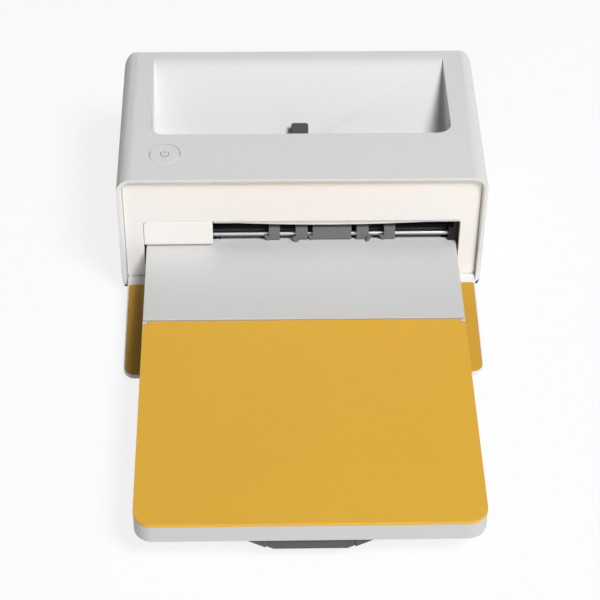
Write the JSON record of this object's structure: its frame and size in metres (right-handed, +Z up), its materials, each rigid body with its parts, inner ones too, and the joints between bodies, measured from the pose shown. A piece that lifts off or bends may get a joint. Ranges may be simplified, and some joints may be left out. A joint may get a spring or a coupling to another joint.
{
  "type": "compact photo printer",
  "caption": "Compact photo printer with a phone dock recess on top, a fold-down front door and a sheet cassette with a hinged lid.",
  "frame": {"origin": "on the table, under the middle of the outline of the printer with its cassette in and its front door open", "axes": "+Z up, -Y to the front where the cassette slides out, +X to the right seen from the front"},
  "size_m": [0.1658, 0.2572, 0.0685],
  "materials": {
    "shell_white": "fine matt moulded plastic",
    "panel_cream": "fine matt moulded plastic",
    "block_white": "satin moulded plastic",
    "base_grey": "moulded plastic",
    "foot_rubber": "matt rubber",
    "frame_steel": "plated sheet steel",
    "dark_plastic": "moulded plastic",
    "black_plastic": "moulded plastic",
    "grey_plastic": "moulded plastic",
    "light_grey_plastic": "satin moulded plastic",
    "board_green": "solder-masked laminate",
    "port_steel": "drawn sheet steel",
    "motor_steel": "drawn can",
    "shaft_steel": "ground steel",
    "bush_bronze": "sintered bronze",
    "film_brown": "ribbon film",
    "tray_grey": "satin moulded plastic",
    "lid_yellow": "satin moulded plastic",
    "grip_grey": "moulded plastic",
    "paper_white": "coated sheets",
    "roller_rubber": "ground rubber",
    "gear_ivory": "acetal",
    "head_ceramic": "extruded aluminium and glazed ceramic"
  },
  "bodies": {
    "housing": {"outer_shell": "shell_white", "front_panel": "panel_cream", "guide_block": "block_white", "rear_panel": "shell_white", "base_plate": "base_grey", "rubber_feet": "foot_rubber", "left_frame": "frame_steel", "right_frame": "frame_steel", "guide_bar": "grey_plastic", "exit_roller_holders": "dark_plastic", "exit_apron": "light_grey_plastic", "lower_guide": "grey_plastic", "main_board": "board_green", "button_board": "board_green", "power_jack": "black_plastic", "usb_port": "port_steel", "motor": "motor_steel", "cartridge_frame": "dark_plastic", "ribbon_film": "film_brown", "frame_screws": "shaft_steel", "shaft_bracket": "black_plastic", "dock_cradle": "grey_plastic", "shaft_bushes": "bush_bronze", "hinge_pins": "shaft_steel"},
    "front_door": {"front_door": "shell_white", "door_liner": "lid_yellow"},
    "cassette": {"cassette_tray": "tray_grey", "cassette_cover": "tray_grey", "cassette_grip": "grip_grey", "lid_hinge_pins": "shaft_steel", "lift_spring": "frame_steel"},
    "cassette_lid": {"cassette_lid": "lid_yellow"},
    "sheet_lift": {"pressure_plate": "frame_steel", "paper_stack": "paper_white"},
    "power_button": {"power_button": "shell_white"},
    "dock_plug": {"dock_plug": "dark_plastic", "plug_carrier": "dark_plastic"},
    "outlet_roller": {"exit_shaft": "shaft_steel", "exit_rollers": "roller_rubber", "exit_gear": "gear_ivory"},
    "pick_roller": {"pick_shaft": "shaft_steel", "pick_rollers": "roller_rubber", "pick_gear": "gear_ivory"},
    "capstan": {"capstan": "shaft_steel", "capstan_gear": "gear_ivory"},
    "pinch_roller": {"pinch_roller": "roller_rubber"},
    "platen": {"platen_shaft": "shaft_steel", "platen_roller": "roller_rubber", "platen_gear": "gear_ivory"},
    "take_up": {"take_up_spool": "film_brown", "take_up_gear": "gear_ivory"},
    "supply": {"supply_spool": "film_brown"},
    "print_head": {"print_head": "head_ceramic", "head_arm": "frame_steel"},
    "motor_rotor": {"motor_pinion": "shaft_steel"},
    "reduction_gear": {"reduction_gear": "gear_ivory"},
    "idler_gear": {"idler_gear": "gear_ivory"},
    "cartridge_door": {"cartridge_door": "shell_white"}
  },
  "joints": [
    {"name": "cassette_slide", "type": "slide", "parent": "housing", "child": "cassette", "axis": [0, -1, 0], "range_m": [0, 0.04]},
    {"name": "lid_hinge", "type": "hinge", "parent": "cassette", "child": "cassette_lid", "pos_m": [0, -0.01325, 0.0251], "axis": [-1, 0, 0], "range_deg": [0, 100]},
    {"name": "sheet_lift_hinge", "type": "hinge", "parent": "cassette", "child": "sheet_lift", "pos_m": [0, -0.08735, 0.0191], "axis": [-1, 0, 0], "range_deg": [0, 0.5], "stiffness_Nm_per_rad": 6, "springref_deg": -3.44, "deforming": ["lift_spring"]},
    {"name": "front_door_hinge", "type": "hinge", "parent": "housing", "child": "front_door", "pos_m": [0, 0.03395, 0.008], "axis": [-1, 0, 0], "range_deg": [0, 11]},
    {"name": "cartridge_door_hinge", "type": "hinge", "parent": "housing", "child": "cartridge_door", "pos_m": [0.0817, 0.07415, 0.03], "axis": [0, 0, -1], "range_deg": [0, 95]},
    {"name": "power_button_press", "type": "slide", "parent": "housing", "child": "power_button", "axis": [0, 0, -1], "range_m": [0, 0.0008], "stiffness_N_per_m": 900, "springref_m": -0.0004},
    {"name": "dock_plug_tilt", "type": "hinge", "parent": "housing", "child": "dock_plug", "pos_m": [0, 0.06942, 0.04327], "axis": [1, 0, 0], "range_deg": [-4, 4], "stiffness_Nm_per_rad": 0.05},
    {"name": "head_lift", "type": "hinge", "parent": "housing", "child": "print_head", "pos_m": [0, 0.12215, 0.0255], "axis": [-1, 0, 0], "range_deg": [0, 8], "stiffness_Nm_per_rad": 0.3, "springref_deg": -11.46},
    {"name": "platen_turn", "type": "hinge", "parent": "housing", "child": "platen", "pos_m": [0, 0.09605, 0.0173], "axis": [1, 0, 0], "continuous": true},
    {"name": "capstan_turn", "type": "hinge", "parent": "housing", "child": "capstan", "pos_m": [0, 0.06536, 0.0193], "axis": [1, 0, 0], "continuous": true},
    {"name": "pick_roller_turn", "type": "hinge", "parent": "housing", "child": "pick_roller", "pos_m": [0, 0.05311, 0.0288], "axis": [1, 0, 0], "continuous": true},
    {"name": "outlet_roller_turn", "type": "hinge", "parent": "housing", "child": "outlet_roller", "pos_m": [0, 0.04265, 0.0279], "axis": [1, 0, 0], "continuous": true},
    {"name": "pinch_roller_turn", "type": "hinge", "parent": "housing", "child": "pinch_roller", "pos_m": [0, 0.06536, 0.02645], "axis": [1, 0, 0], "continuous": true},
    {"name": "idler_gear_turn", "type": "hinge", "parent": "housing", "child": "idler_gear", "pos_m": [0, 0.08133, 0.0202], "axis": [1, 0, 0], "continuous": true},
    {"name": "take_up_turn", "type": "hinge", "parent": "housing", "child": "take_up", "pos_m": [0, 0.08215, 0.03418], "axis": [1, 0, 0], "continuous": true},
    {"name": "supply_turn", "type": "hinge", "parent": "housing", "child": "supply", "pos_m": [0, 0.11265, 0.034], "axis": [1, 0, 0], "continuous": true},
    {"name": "reduction_gear_turn", "type": "hinge", "parent": "housing", "child": "reduction_gear", "pos_m": [0, 0.06015, 0.04148], "axis": [1, 0, 0], "continuous": true},
    {"name": "motor_turn", "type": "hinge", "parent": "housing", "child": "motor_rotor", "pos_m": [0, 0.05115, 0.0478], "axis": [1, 0, 0], "continuous": true}
  ],
  "couplings": [
    {"joint": "capstan_turn", "follows": "platen_turn", "ratio": 0.88889},
    {"joint": "pick_roller_turn", "follows": "platen_turn", "ratio": -1.2308},
    {"joint": "outlet_roller_turn", "follows": "platen_turn", "ratio": 2},
    {"joint": "pinch_roller_turn", "follows": "platen_turn", "ratio": -1.0556},
    {"joint": "idler_gear_turn", "follows": "platen_turn", "ratio": -1.1429},
    {"joint": "take_up_turn", "follows": "platen_turn", "ratio": 1.1429},
    {"joint": "supply_turn", "follows": "platen_turn", "ratio": 0.71042},
    {"joint": "reduction_gear_turn", "follows": "platen_turn", "ratio": 1},
    {"joint": "motor_turn", "follows": "platen_turn", "ratio": -2.6667}
  ]
}
